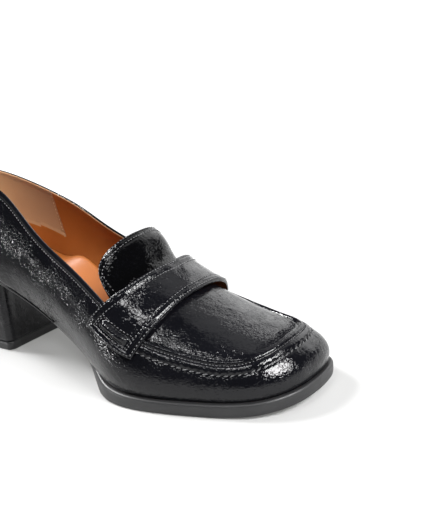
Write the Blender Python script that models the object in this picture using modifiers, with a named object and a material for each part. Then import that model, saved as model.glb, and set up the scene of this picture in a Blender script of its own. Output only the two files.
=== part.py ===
# Right loafer pump on a block heel, with an apron toe and a saddle strap.
# Lengths run from the back of the seat to the toe, heights start at the floor, all in metres.

import bpy
import bmesh
import numpy as np
from mathutils import Vector

# The last
last_length = 0.242
ball_half_width = 0.042
seat_height = 0.057
instep_height = 0.082
toe_tip_side = 0.0073    # the tip leans to the inner side
toe_fan_start = 0.66     # share of length where the sections start to fan around the toe
toe_fan_depth = 0.029
seat_fan_end = 0.22      # share of length where the sections stop fanning around the seat
seat_fan_depth = 0.030

# The upper
wall = 0.0018
bead_height = 0.0005     # rolled edge of the collar
ridge_height = 0.0013    # raised seam around the apron
strip_width = 0.0050     # how far down from the edge the bead and the ridge reach
ridge_start = 0.60       # shares of length over which the collar's bead turns into the apron's ridge
ridge_full = 0.69
plug_fullness = 2.6       # 2 is a plain arch from crease to crease, more is flatter on top
throat_share = 0.690     # share of length where the plug starts, under the strap
gap = 0.0003             # between pieces that touch

# The sole
sole_wall = 0.0075
waist_sole = 0.0028
ledge = 0.0026           # how far the sole stands out around the forefoot
seat_inset = 0.0016      # how far it stays inside the upper in the waist and under the seat
ledge_start = 0.50       # shares of length over which the inset turns into the ledge
ledge_full = 0.62
toe_spring = 0.0038
flat_start = 0.575       # shares of length where the sole lies on the floor
flat_end = 0.84
breast_length = 0.06     # share of length over which the thick sole runs out behind its flat
sole_bevel = 0.0014
rim_bevel = 0.0008
insole_thickness = 0.0015
insole_clearance = 0.0008

# The heel
heel_breast = 0.050
heel_back = 0.004
heel_taper = 0.0003       # how much narrower each side of the block is at its foot
heel_corner = 0.0040
heel_seat_inset = 0.0022  # the block's top stays inside the upper's lower edge
heel_edge = 0.0004
top_piece_height = 0.0055
top_piece_bevel = 0.0010

# The tongue and the strap
tongue_thickness = 0.0020
tongue_crown = 0.0060
tongue_slack = 0.0002     # more than the common gap, where the tongue lies under the upper
tongue_wing = 0.016       # shares of length by which the top edge bends back toward its corners,
tongue_corner = 0.020     # and by which the corners are rounded off
strap_thickness = 0.0020
strap_lift = 0.0028       # how far the strap stands off the instep
strap_gap = 0.0004
strap_rise = 0.45         # share of the way from its end to the spine over which it leaves the upper
strap_end_back = 0.221    # where the end panel's corners lie on the section, from feather edge to spine
strap_end_front = 0.250
bar_height = 0.0010       # padded bar across each end panel

# Plan of the last: share of length, inner and outer half width as shares of the ball's half width
PLAN = np.array([
    (0.000, 0.000, 0.000),
    (0.012, 0.262, 0.262),
    (0.050, 0.476, 0.476),
    (0.110, 0.607, 0.607),
    (0.200, 0.643, 0.655),
    (0.320, 0.560, 0.660),
    (0.450, 0.464, 0.750),
    (0.550, 0.576, 0.925),
    (0.640, 0.814, 1.090),
    (0.720, 0.990, 1.060),
    (0.800, 1.010, 0.935),
    (0.880, 0.948, 0.775),
    (0.940, 0.852, 0.600),
    (0.980, 0.690, 0.335),
    (0.996, 0.450, 0.075),
    (1.000, 0.174, -0.174),
])
PLAN[-1, 1:] = (toe_tip_side / ball_half_width, -toe_tip_side / ball_half_width)

# Bottom of the last: share of length, share of the seat's rise above the forefoot
RISE = np.array([
    (0.00, 1.000),
    (0.10, 0.919),
    (0.20, 0.798),
    (0.30, 0.626),
    (0.40, 0.414),
    (0.50, 0.202),
    (0.60, 0.040),
    (0.68, 0.000),
    (0.84, 0.000),
    (1.00, 0.000),
])

# Spine of the last: share of length, share of the instep's rise above the forefoot's lower edge
SPINE = np.array([
    (0.000, 1.698),
    (0.150, 1.616),
    (0.300, 1.435),
    (0.420, 1.215),
    (0.530, 1.000),
    (0.600, 0.829),
    (0.660, 0.675),
    (0.735, 0.534),
    (0.810, 0.424),
    (0.885, 0.347),
])

# Sections: share of length, fullness, outer and inner bulge as shares of the ball's half width
SECTION = np.array([
    (0.00, 2.9, 0.048, 0.048),
    (0.20, 2.8, 0.060, 0.060),
    (0.40, 2.6, 0.119, 0.167),
    (0.50, 2.7, 0.119, 0.190),
    (0.60, 2.6, 0.083, 0.119),
    (0.70, 2.2, 0.060, 0.071),
    (0.80, 2.2, 0.045, 0.052),
    (0.90, 2.3, 0.024, 0.052),
    (1.00, 2.4, 0.030, 0.030),
])

# Collar, then apron crease: share of length, share of the section's height at the outer and inner side
EDGE = np.array([
    (0.000, 0.665, 0.665),
    (0.050, 0.670, 0.615),
    (0.100, 0.680, 0.570),
    (0.180, 0.718, 0.533),
    (0.250, 0.732, 0.540),
    (0.300, 0.690, 0.562),
    (0.350, 0.642, 0.588),
    (0.460, 0.632, 0.650),
    (0.570, 0.668, 0.695),
    (0.607, 0.675, 0.705),
    (0.650, 0.655, 0.710),
    (0.704, 0.635, 0.705),
    (0.804, 0.639, 0.735),
    (0.875, 0.653, 0.779),
    (0.934, 0.733, 0.834),
    (1.000, 0.906, 0.906),
])

# Strip along that edge: share of its width below the edge, shares of the bead's and the ridge's height
EDGE_STRIP = np.array([
    (1.00, 0.00, 0.00),
    (0.64, 0.30, 0.55),
    (0.32, 1.00, 1.00),
    (0.14, 0.90, 0.90),
    (0.00, 0.20, -0.25),
])

# Crease on the plug's side of the ridge: shares of the strip's width above the edge and of the ridge's height
CREASE = np.array([
    (0.00, -0.25),
    (0.24, -0.30),
    (0.64, -0.08),
])

# Strap: way from its end to the spine, back edge and front edge as shares of length
STRAP = np.array([
    (0.00, 0.568, 0.690),
    (0.35, 0.614, 0.716),
    (0.70, 0.640, 0.732),
    (1.00, 0.650, 0.738),
])

# Bar on the strap's end panels: middle and half size, along the strap and across it
BAR = np.array([
    (0.17, 0.52),
    (0.06, 0.30),
])

# Tongue: way from its root to its top, station share, how far down the section its side reaches,
# lift of its side and crown of its middle above that, both as shares of the full crown
TONGUE = np.array([
    (0.00, 0.705, 0.400, 0.00, 0.00),
    (0.30, 0.660, 0.460, 0.00, 0.10),
    (0.60, 0.618, 0.525, -0.05, 0.77),
    (0.80, 0.591, 0.520, 0.40, 1.00),
    (1.00, 0.570, 0.480, 0.70, 0.67),
])

MATERIALS = {
    "patent leather": ((0.012, 0.013, 0.016), 0.18),
    "tan leather": ((0.55, 0.24, 0.08), 0.60),
    "grey rubber": ((0.045, 0.045, 0.047), 0.55),
    "black rubber": ((0.020, 0.020, 0.020), 0.60),
}


def spline(rows, column, x):
    """Smooth value of a table's column at x: a natural cubic through the rows."""
    xs = rows[:, 0]
    ys = rows[:, column]
    step = np.diff(xs)
    slope = np.diff(ys) / step
    count = len(xs)
    grid = np.eye(count)
    side = np.zeros(count)
    for i in range(1, count - 1):
        grid[i, i - 1:i + 2] = (step[i - 1], 2 * (step[i - 1] + step[i]), step[i])
        side[i] = 6 * (slope[i] - slope[i - 1])
    bend = np.linalg.solve(grid, side)
    x = np.clip(x, xs[0], xs[-1])
    i = np.clip(np.searchsorted(xs, x) - 1, 0, count - 2)
    a = (xs[i + 1] - x) / step[i]
    b = 1 - a
    curve = (a ** 3 - a) * bend[i] + (b ** 3 - b) * bend[i + 1]
    return a * ys[i] + b * ys[i + 1] + curve * step[i] ** 2 / 6


def smooth(low, high, x):
    """0 below low, 1 above high, an even S between them."""
    way = np.clip((x - low) / (high - low), 0, 1)
    return way ** 2 * (3 - 2 * way)


def plan_half(side):
    """Half of the last's plan, evenly spaced along its edge from the back of the seat to the tip."""
    xs = PLAN[:, 0] * last_length
    ys = PLAN[:, 1 if side > 0 else 2] * ball_half_width
    run = np.concatenate([[0], np.cumsum(np.hypot(np.diff(xs), np.diff(ys)))])
    way = np.linspace(0, run[-1], 1500)
    x = spline(np.stack([run, xs], 1), 1, way)
    y = spline(np.stack([run, ys], 1), 1, way)
    return np.maximum.accumulate(np.clip(x, 0, last_length)), side * y


HALVES = {1: plan_half(1), -1: plan_half(-1)}


def feather(x):
    """Height of the last's lower edge."""
    share = x / last_length
    toe = np.clip((share - flat_end) / (1 - flat_end), 0, 2)
    return sole_wall + (seat_height - sole_wall) * spline(RISE, 1, share) + toe_spring * toe ** 2


def spine_height(x):
    """Height of the last over its middle."""
    return sole_wall + (instep_height - sole_wall) * spline(SPINE, 1, x / last_length)


def on_last(x, side, t):
    """Point of the last: station x, side 1 inner or -1 outer, t from the feather edge (0) to the spine (1).

    Each section is a quarter of a superellipse that swells outward low down. Around the toe and
    the seat the sections fan, so that they run from the edge to a short stretch of the spine.
    """
    share = x / last_length
    foot_y = np.where(side > 0, np.interp(x, *HALVES[1]), np.interp(x, *HALVES[-1]))
    foot_z = feather(x)
    toe = np.clip((share - toe_fan_start) / (1 - toe_fan_start), 0, 1)
    seat = np.clip((seat_fan_end - share) / seat_fan_end, 0, 1)
    top_x = x - toe_fan_depth * toe ** 2 + seat_fan_depth * seat ** 2
    top_y = toe_tip_side * np.clip(share * 2 - 1, 0, 1) ** 2
    top_z = spine_height(top_x)
    full = spline(SECTION, 1, share)
    bulge = np.where(side < 0, spline(SECTION, 2, share), spline(SECTION, 3, share)) * ball_half_width
    turn = t * np.pi / 2
    inward = 1 - np.cos(turn) ** (2 / full)
    rise = np.sin(turn) ** (2 / full)
    dx = top_x - x
    dy = top_y - foot_y
    reach = np.hypot(dx, dy) + 1e-9
    swell = bulge * 1.3 * np.sin(np.pi * np.clip(rise / 0.75, 0, 1)) * np.sqrt(np.clip(1 - rise, 0, 1))
    way = inward - swell / reach
    return np.stack([x + dx * way, foot_y + dy * way, foot_z + (top_z - foot_z) * rise], -1)


def skin(x, side, t, offset):
    """Point at a distance off the last, along its outward normal."""
    x, side, t, offset = np.broadcast_arrays(x, side, t, offset)
    inside = np.clip(t, 0.002, 0.996)
    along = on_last(np.clip(x + 0.0004, 0, last_length), side, inside)
    along = along - on_last(np.clip(x - 0.0004, 0, last_length), side, inside)
    low = np.clip(t - 0.004, 0.0, 0.996)
    up = on_last(x, side, low + 0.004) - on_last(x, side, low)
    normal = np.cross(up, along) * side[..., None]
    normal /= np.linalg.norm(normal, axis=-1, keepdims=True)
    return on_last(x, side, t) + normal * offset[..., None]


def skin_row(x, side, t, offset):
    """Row of points at one station; both sides agree at the back seam and at the tip."""
    row = skin(x, float(side), t, offset)
    if x <= 0 or x >= last_length:
        row = (row + skin(x, -float(side), t, offset)) / 2
    return row


def wrap(share, across, offset):
    """Point over the instep; across runs from -1, the outer feather edge, over the spine to 1, the inner."""
    side = np.where(across < 0, -1.0, 1.0)
    return skin(share * last_length, side, np.minimum(1 - np.abs(across), 0.9999), offset)


def edge_place(x, side):
    """Where the collar or the apron crease crosses the section at x, from feather edge to spine."""
    share = x / last_length
    rise = spline(EDGE, 1 if side < 0 else 2, share)
    return np.arcsin(rise ** (spline(SECTION, 1, share) / 2)) * 2 / np.pi


def on_plug(x, side, way):
    """Point of the plug's outer face: station x, way from the apron crease (0) to the spine (1).

    Straight in plan. In height a power curve, which meets the spine with the spine's own slope, so
    that both sides join smoothly around the toe.
    """
    crease = on_last(x, side, edge_place(x, side))
    spine = on_last(x, side, 1.0)
    slope = (spine_height(spine[0] + gap) - spine_height(spine[0] - gap)) / (2 * gap)
    tilt = slope * (spine[0] - crease[0])
    rest = 1 - way
    arch = rest ** plug_fullness
    points = crease * rest[:, None] + spine * way[:, None]
    points[:, 2] = spine[2] - (spine[2] - crease[2]) * arch - tilt * (rest - arch)
    return points


def stations(count):
    """Stations from the seat to the tip, closer together at both ends."""
    return last_length * (1 - np.cos(np.linspace(0, np.pi, count + 1))) / 2


def patch(points):
    """Faces of a grid of points."""
    rows, columns = points.shape[:2]
    return [
        (points[i, j], points[i + 1, j], points[i + 1, j + 1], points[i, j + 1])
        for i in range(rows - 1)
        for j in range(columns - 1)
    ]


def add_piece(name, faces, material_name):
    """Object from faces given by their corner points; its origin is the middle of the heel's foot."""
    origin = np.array([(heel_breast + heel_back) / 2, 0, 0])
    bm = bmesh.new()
    for face in faces:
        bm.faces.new([bm.verts.new(corner - origin) for corner in face])
    bmesh.ops.remove_doubles(bm, verts=bm.verts, dist=0.00003)
    bmesh.ops.dissolve_degenerate(bm, edges=bm.edges, dist=0.00001)
    bmesh.ops.recalc_face_normals(bm, faces=bm.faces)
    mesh = bpy.data.meshes.new(name)
    bm.to_mesh(mesh)
    bm.free()
    mesh.shade_smooth()
    mesh.materials.append(bpy.data.materials[material_name])
    piece = bpy.data.objects.new(name, mesh)
    pieces.objects.link(piece)
    return piece


def add_skin(name, faces, thickness, material_name):
    """Object from an open outer skin, which gets its wall on the side toward the foot."""
    piece = add_piece(name, faces, material_name)
    mesh = piece.data
    outward = sum(face.area * face.normal.dot(face.center * Vector((0, 1, 1))) for face in mesh.polygons)
    if outward < 0:
        mesh.flip_normals()
    solid = piece.modifiers.new("Wall", "SOLIDIFY")
    solid.thickness = thickness
    solid.offset = -1
    solid.use_rim = True


def plate(rings, bottom, top, across):
    """Faces of a solid from rings of two halves, from low to high, filled across at both ends.

    bottom and top give the fillings' heights from x. Where the halves' last points differ, the end
    between them is closed too.
    """
    mix = np.linspace(0, 1, across + 1)[None, :, None]
    fills = [inner[:, None] * (1 - mix) + outer[:, None] * mix for inner, outer in rings]
    faces = []
    for low, high in zip(rings[:-1], rings[1:]):
        for half in (0, 1):
            faces += patch(np.stack([low[half], high[half]], 1))
    if np.linalg.norm(rings[0][0][-1] - rings[0][1][-1]) > gap:
        faces += patch(np.stack([fill[-1] for fill in fills], 1))
    for fill, height in ((fills[0], bottom), (fills[-1], top)):
        fill[:, 1:-1, 2] = height(fill[:, 1:-1, 0])
        faces += patch(fill)
    return faces


def plan_ring(grow, height, count=44):
    """Both halves of the last's plan, grown by a distance and set at a height that both depend on x."""
    halves = []
    for side in (1, -1):
        x, y = HALVES[side]
        normal = np.stack([-np.gradient(y), np.gradient(x)], 1) * side
        normal /= np.linalg.norm(normal, axis=1, keepdims=True) + 1e-12
        normal[0] = (-1, 0)
        normal[-1] = (1, 0)
        spots = np.searchsorted(x, stations(count)).clip(0, len(x) - 1)
        spots[0] = 0
        spots[-1] = len(x) - 1
        flat = (np.stack([x, y], 1) + normal * np.broadcast_to(grow(x), x.shape)[:, None])[spots]
        halves.append(np.column_stack([flat, height(flat[:, 0])]))
    return halves


def heel_ring(half_width, back, breast, height, count=13):
    """Both halves of a D: round at the back, straight at the breast, with small round corners."""
    turn = np.linspace(0, np.pi / 2, count)
    depth = min(half_width * 1.05, (breast - back) * 0.6)
    side_x = np.linspace(back + depth, breast - heel_corner, 5)[1:-1]
    corner = turn[::3]
    x = np.concatenate([
        back + depth * (1 - np.cos(turn)),
        side_x,
        breast - heel_corner * (1 - np.sin(corner)),
    ])
    y = np.concatenate([
        half_width * np.sin(turn) ** 0.86,
        np.full(len(side_x), half_width),
        half_width - heel_corner * (1 - np.cos(corner)),
    ])
    return [np.column_stack([x, y * side, height(x)]) for side in (1, -1)]


def level(height):
    """The same height for every x."""
    return lambda x: np.full(np.shape(x), height)


def sole_top(x):
    """Upper side of the sole, just under the last."""
    return feather(x) - gap


def sole_bottom(x):
    """Underside of the sole: flat under the forefoot, thin in the waist, lifted at the toe."""
    share = x / last_length
    block = sole_top(flat_start * last_length) - waist_sole
    waist = sole_top(x) - waist_sole - block * smooth(flat_start - breast_length, flat_start, share)
    toe = (feather(x) - sole_wall) * (share > flat_end)
    return np.maximum(np.where(share < flat_start, waist, toe), 0)


def sole_reach(x):
    """How far the sole stands out from the upper's lower edge."""
    blend = smooth(ledge_start, ledge_full, x / last_length)
    return ledge * blend - seat_inset * (1 - blend)


def make_upper():
    """Band from the feather edge to the collar or apron crease, and the plug in front of the throat."""
    ways = np.linspace(0, 1, 240)
    band_shares = np.array([0.0, 0.10, 0.24, 0.40, 0.58, 0.76, 0.90])
    strip = EDGE_STRIP[:, 0] * strip_width
    plug_start = CREASE[:, 0] * strip_width
    plug_shares = np.linspace(0, 1, 6)[1:]
    faces = []
    for side in (1, -1):
        band = []
        plug = []
        for x in stations(46):
            line = on_last(np.full(len(ways), x), np.full(len(ways), float(side)), ways)
            arc = np.concatenate([[0], np.cumsum(np.linalg.norm(np.diff(line, axis=0), axis=1))])
            edge = np.interp(edge_place(x, side), ways, arc)
            blend = np.clip((x / last_length - ridge_start) / (ridge_full - ridge_start), 0, 1)
            bead = EDGE_STRIP[:, 1] * bead_height * (1 - blend)
            ridge = EDGE_STRIP[:, 2] * ridge_height * blend
            arcs = np.concatenate([band_shares * (edge - strip[0]), edge - strip])
            lift = np.concatenate([band_shares * 0, bead + ridge])
            band.append(skin_row(x, side, np.interp(arcs, arc, ways), lift))
            if x < throat_share * last_length:
                continue
            start = plug_start / (arc[-1] - edge)
            row = on_plug(x, float(side), np.concatenate([start, start[-1] + (1 - start[-1]) * plug_shares]))
            row[:len(start), 2] += CREASE[:, 1] * ridge_height * blend
            row[0] = band[-1][-1]
            row[-1] = on_last(x, 1, 1.0)
            plug.append(row)
        faces += patch(np.array(band)) + patch(np.array(plug))
    add_skin("upper", faces, wall, "patent leather")


def make_tongue():
    """Under the plug at its root, free and crowned at its top."""
    way = np.linspace(0, 1, 15)[:, None]
    turn = np.sin(np.linspace(-1, 1, 21) * np.pi * 0.485)[None, :]
    turn = turn / turn[0, -1]
    end = tongue_corner * np.abs(turn) ** 10 - tongue_wing * turn ** 2
    share = spline(TONGUE, 1, way) + end * way ** 3
    lift = tongue_crown * (spline(TONGUE, 3, way) + spline(TONGUE, 4, way) * (1 - turn ** 2))
    lift = lift - wall - gap - tongue_slack
    points = wrap(share, turn * spline(TONGUE, 2, way), lift)
    add_skin("tongue", patch(points), tongue_thickness, "patent leather")


def make_strap():
    """Close to the quarters at its ends, standing off over the instep."""
    along = np.linspace(-1, 1, 51)[:, None]
    from_end = 1 - np.abs(along)
    width = np.linspace(0, 1, 11)[None, :]
    share = spline(STRAP, 1, from_end) * (1 - width) + spline(STRAP, 2, from_end) * width
    end = strap_end_back * (1 - width) + strap_end_front * width
    across = np.sign(along) * (1 - end) * np.abs(along)
    bar = np.exp(-((from_end - BAR[0, 0]) / BAR[1, 0]) ** 4 - ((width - BAR[0, 1]) / BAR[1, 1]) ** 4)
    lift = strap_gap + strap_thickness + strap_lift * smooth(0, strap_rise, from_end) + bar_height * bar
    add_skin("saddle_strap", patch(wrap(share, across, lift)), strap_thickness, "patent leather")


def make_outsole():
    """One plate from the toe to the seat."""
    foot = min(sole_bevel, waist_sole * 0.3)
    rings = [
        plan_ring(lambda x: sole_reach(x) - sole_bevel, sole_bottom),
        plan_ring(lambda x: sole_reach(x) - sole_bevel / 7, lambda x: sole_bottom(x) + foot),
        plan_ring(sole_reach, lambda x: sole_top(x) - rim_bevel),
        plan_ring(lambda x: sole_reach(x) - rim_bevel, sole_top),
    ]
    add_piece("outsole", plate(rings, sole_bottom, sole_top, 7), "grey rubber")


def make_insole():
    """Sock that lies on the sole inside the upper."""
    inset = -wall - insole_clearance
    rings = [
        plan_ring(level(inset), feather, 36),
        plan_ring(level(inset), lambda x: feather(x) + insole_thickness, 36),
    ]
    faces = plate(rings, feather, lambda x: feather(x) + insole_thickness, 5)
    add_piece("insole", faces, "tan leather")


def heel_foot_half():
    """Half width of the heel's foot and of the top piece under it."""
    return spline(PLAN, 2, heel_breast / last_length) * ball_half_width - heel_seat_inset - heel_taper


def make_heel():
    """Block from the top piece up to the underside of the sole."""
    foot = top_piece_height + gap
    rings = []
    for way in (0.0, 0.02, 0.25, 0.5, 0.75, 1.0):
        edge = heel_edge if way == 0 else 0
        half = heel_foot_half() + heel_taper * way
        back = heel_back + (heel_seat_inset - heel_back) * way ** 1.5
        rings.append(heel_ring(
            half - edge,
            back + edge,
            heel_breast - edge,
            lambda x: foot + (sole_bottom(x) - gap - foot) * way,
        ))
    add_piece("heel", plate(rings, level(foot), lambda x: sole_bottom(x) - gap, 6), "patent leather")


def make_top_piece():
    """Slab that the heel stands on."""
    rings = [
        heel_ring(heel_foot_half() - inset, heel_back + inset, heel_breast - inset, level(height))
        for inset, height in ((top_piece_bevel, 0), (0, top_piece_bevel), (0, top_piece_height))
    ]
    add_piece("heel_top_piece", plate(rings, level(0), level(top_piece_height), 4), "black rubber")


for thing in list(bpy.data.objects):
    bpy.data.objects.remove(thing)
pieces = bpy.data.collections.new("loafer pump")
bpy.context.scene.collection.children.link(pieces)
for name, (colour, roughness) in MATERIALS.items():
    material = bpy.data.materials.new(name)
    material.use_nodes = True
    shader = material.node_tree.nodes["Principled BSDF"]
    shader.inputs["Base Color"].default_value = (*colour, 1)
    shader.inputs["Roughness"].default_value = roughness

make_upper()
make_tongue()
make_strap()
make_insole()
make_outsole()
make_heel()
make_top_piece()
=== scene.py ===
import math

import bmesh
import bpy
import numpy as np
from mathutils import Matrix


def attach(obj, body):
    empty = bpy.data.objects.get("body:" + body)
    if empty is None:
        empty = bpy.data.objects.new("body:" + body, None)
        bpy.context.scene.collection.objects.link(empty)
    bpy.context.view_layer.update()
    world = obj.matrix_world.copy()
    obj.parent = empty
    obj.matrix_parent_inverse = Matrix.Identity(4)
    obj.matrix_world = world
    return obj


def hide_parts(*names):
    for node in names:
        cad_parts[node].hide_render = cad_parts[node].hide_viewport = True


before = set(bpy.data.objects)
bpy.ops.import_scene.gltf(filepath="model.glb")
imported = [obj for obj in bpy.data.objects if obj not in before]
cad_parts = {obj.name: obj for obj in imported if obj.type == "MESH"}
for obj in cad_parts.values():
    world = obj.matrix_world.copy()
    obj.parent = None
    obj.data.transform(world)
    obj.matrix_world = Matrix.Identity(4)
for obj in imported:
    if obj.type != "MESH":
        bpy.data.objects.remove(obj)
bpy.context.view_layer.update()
print("frame loaded")

# The last, with the sizes that the parts are built from
last = {
    "length": 0.242,
    "ballHalf": 0.042,
    "seatHeight": 0.057,
    "instepHeight": 0.082,
    "tipSide": 0.0073,
    "toeFanStart": 0.66,
    "toeFanDepth": 0.029,
    "seatFanEnd": 0.22,
    "seatFanDepth": 0.030,
    "soleWall": 0.0075,
    "toeSpring": 0.0038,
    "flatStart": 0.575,
    "flatEnd": 0.84,
    "originX": 0.027,
}

# share of length, inner and outer half width
planTable = np.array([
    (0.000, 0.000, 0.000), (0.012, 0.262, 0.262), (0.050, 0.476, 0.476), (0.110, 0.607, 0.607),
    (0.200, 0.643, 0.655), (0.320, 0.560, 0.660), (0.450, 0.464, 0.750), (0.550, 0.576, 0.925),
    (0.640, 0.814, 1.090), (0.720, 0.990, 1.060), (0.800, 1.010, 0.935), (0.880, 0.948, 0.775),
    (0.940, 0.852, 0.600), (0.980, 0.690, 0.335), (0.996, 0.450, 0.075),
    (1.000, last["tipSide"] / last["ballHalf"], -last["tipSide"] / last["ballHalf"]),
])
# share of length, share of the seat's rise
riseTable = np.array([
    (0.00, 1.000), (0.10, 0.919), (0.20, 0.798), (0.30, 0.626), (0.40, 0.414), (0.50, 0.202),
    (0.60, 0.040), (0.68, 0.000), (0.84, 0.000), (1.00, 0.000),
])
# share of length, share of the instep's rise
spineTable = np.array([
    (0.000, 1.698), (0.150, 1.616), (0.300, 1.435), (0.420, 1.215), (0.530, 1.000), (0.600, 0.829),
    (0.660, 0.675), (0.735, 0.534), (0.810, 0.424), (0.885, 0.347),
])
# share of length, fullness, outer and inner bulge
sectionTable = np.array([
    (0.00, 2.9, 0.048, 0.048), (0.20, 2.8, 0.060, 0.060), (0.40, 2.6, 0.119, 0.167),
    (0.50, 2.7, 0.119, 0.190), (0.60, 2.6, 0.083, 0.119), (0.70, 2.2, 0.060, 0.071),
    (0.80, 2.2, 0.045, 0.052), (0.90, 2.3, 0.024, 0.052), (1.00, 2.4, 0.030, 0.030),
])
# share of length, share of the section's height at the outer and inner side: collar, then apron crease
edgeTable = np.array([
    (0.000, 0.665, 0.665), (0.050, 0.670, 0.615), (0.100, 0.680, 0.570), (0.180, 0.718, 0.533),
    (0.250, 0.732, 0.540), (0.300, 0.690, 0.562), (0.350, 0.642, 0.588), (0.460, 0.632, 0.650),
    (0.570, 0.668, 0.695), (0.607, 0.675, 0.705), (0.650, 0.655, 0.710), (0.704, 0.635, 0.705),
    (0.804, 0.639, 0.735), (0.875, 0.653, 0.779), (0.934, 0.733, 0.834), (1.000, 0.906, 0.906),
])


def spline(rows, column, x):
    # natural cubic through a table's rows
    xs = rows[:, 0]
    ys = rows[:, column]
    step = np.diff(xs)
    slope = np.diff(ys) / step
    grid = np.eye(len(xs))
    side = np.zeros(len(xs))
    for i in range(1, len(xs) - 1):
        grid[i, i - 1:i + 2] = (step[i - 1], 2 * (step[i - 1] + step[i]), step[i])
        side[i] = 6 * (slope[i] - slope[i - 1])
    bend = np.linalg.solve(grid, side)
    x = np.clip(x, xs[0], xs[-1])
    i = np.clip(np.searchsorted(xs, x) - 1, 0, len(xs) - 2)
    a = (xs[i + 1] - x) / step[i]
    b = 1 - a
    curve = (a ** 3 - a) * bend[i] + (b ** 3 - b) * bend[i + 1]
    return a * ys[i] + b * ys[i + 1] + curve * step[i] ** 2 / 6


def smooth(low, high, x):
    # 0 below low, 1 above high, an even S between
    way = np.clip((x - low) / (high - low), 0, 1)
    return way ** 2 * (3 - 2 * way)


def bump(x, middle, half):
    # a bell of height 1
    return np.exp(-((x - middle) / half) ** 2)


def planHalf(side):
    # half of the plan, evenly spaced along its edge: a cubic through the table by chord length
    xs = planTable[:, 0] * last["length"]
    ys = planTable[:, 1 if side > 0 else 2] * last["ballHalf"]
    run = np.concatenate([[0], np.cumsum(np.hypot(np.diff(xs), np.diff(ys)))])
    way = np.linspace(0, run[-1], 1500)
    x = spline(np.stack([run, xs], 1), 1, way)
    y = spline(np.stack([run, ys], 1), 1, way)
    return np.maximum.accumulate(np.clip(x, 0, last["length"])), side * y


halves = {1: planHalf(1), -1: planHalf(-1)}


def feather(x):
    # lower edge: the seat's rise times its table, plus a toe spring that grows with the square
    share = x / last["length"]
    toe = np.clip((share - last["flatEnd"]) / (1 - last["flatEnd"]), 0, 2)
    rise = (last["seatHeight"] - last["soleWall"]) * spline(riseTable, 1, share)
    return last["soleWall"] + rise + last["toeSpring"] * toe ** 2


def spineHeight(x):
    # top of the last over its middle
    high = last["instepHeight"] - last["soleWall"]
    return last["soleWall"] + high * spline(spineTable, 1, x / last["length"])


def onLast(x, side, t):
    # quarter of a superellipse from the lower edge (t 0) to the spine (t 1), swelling outward low down;
    # sections fan around the toe and the seat
    share = x / last["length"]
    footY = np.where(side > 0, np.interp(x, *halves[1]), np.interp(x, *halves[-1]))
    footZ = feather(x)
    toe = np.clip((share - last["toeFanStart"]) / (1 - last["toeFanStart"]), 0, 1)
    seat = np.clip((last["seatFanEnd"] - share) / last["seatFanEnd"], 0, 1)
    topX = x - last["toeFanDepth"] * toe ** 2 + last["seatFanDepth"] * seat ** 2
    topY = last["tipSide"] * np.clip(share * 2 - 1, 0, 1) ** 2
    full = spline(sectionTable, 1, share)
    bulge = np.where(side < 0, spline(sectionTable, 2, share), spline(sectionTable, 3, share))
    turn = t * np.pi / 2
    inward = 1 - np.cos(turn) ** (2 / full)
    rise = np.sin(turn) ** (2 / full)
    reach = np.hypot(topX - x, topY - footY) + 1e-9
    swell = bulge * last["ballHalf"] * 1.3 * np.sin(np.pi * np.clip(rise / 0.75, 0, 1))
    way = inward - swell * np.sqrt(np.clip(1 - rise, 0, 1)) / reach
    return np.stack([
        x + (topX - x) * way,
        footY + (topY - footY) * way,
        footZ + (spineHeight(topX) - footZ) * rise,
    ], -1)


def normalOf(x, side, t):
    # outward normal from small steps along the station and up the section
    inside = np.clip(t, 0.002, 0.996)
    along = onLast(np.clip(x + 0.0004, 0, last["length"]), side, inside)
    along = along - onLast(np.clip(x - 0.0004, 0, last["length"]), side, inside)
    low = np.clip(t - 0.004, 0.0, 0.996)
    up = onLast(x, side, low + 0.004) - onLast(x, side, low)
    normal = np.cross(up, along) * side[..., None]
    return normal / np.linalg.norm(normal, axis=-1, keepdims=True)


def skin(x, side, t, offset):
    # the last, moved out along its normal; both sides share one normal at the back seam and at the tip
    x, side, t, offset = np.broadcast_arrays(x, side, t, offset)
    normal = normalOf(x, side, t)
    other = normalOf(x, -side, t)
    ends = ((x <= 1e-6) | (x >= last["length"] - 1e-6))[..., None]
    shared = normal + other
    shared = shared / (np.linalg.norm(shared, axis=-1, keepdims=True) + 1e-12)
    return onLast(x, side, t) + np.where(ends, shared, normal) * offset[..., None]


def wrap(share, across, offset):
    # over the instep: across runs from -1, the outer lower edge, over the spine to 1
    side = np.where(across < 0, -1.0, 1.0)
    return skin(share * last["length"], side, np.minimum(1 - np.abs(across), 0.9999), offset)


def edgePlace(x, side):
    # where the collar or the apron crease crosses the section
    share = x / last["length"]
    rise = np.where(side < 0, spline(edgeTable, 1, share), spline(edgeTable, 2, share))
    return np.arcsin(rise ** (spline(sectionTable, 1, share) / 2)) * 2 / np.pi


def stations(count):
    # from the seat to the tip, closer together at both ends
    return last["length"] * (1 - np.cos(np.linspace(0, np.pi, count + 1))) / 2


def rowInterp(wanted, xs, ys):
    # linear interpolation row by row: xs rises along each row, ys is one list or a row each
    ys = np.broadcast_to(ys, xs.shape)
    i = np.clip((xs[:, None, :] <= wanted[:, :, None]).sum(-1) - 1, 0, xs.shape[1] - 2)
    x0 = np.take_along_axis(xs, i, 1)
    x1 = np.take_along_axis(xs, i + 1, 1)
    y0 = np.take_along_axis(ys, i, 1)
    y1 = np.take_along_axis(ys, i + 1, 1)
    return y0 + (y1 - y0) * np.clip((wanted - x0) / np.maximum(x1 - x0, 1e-12), 0, 1)


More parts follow.
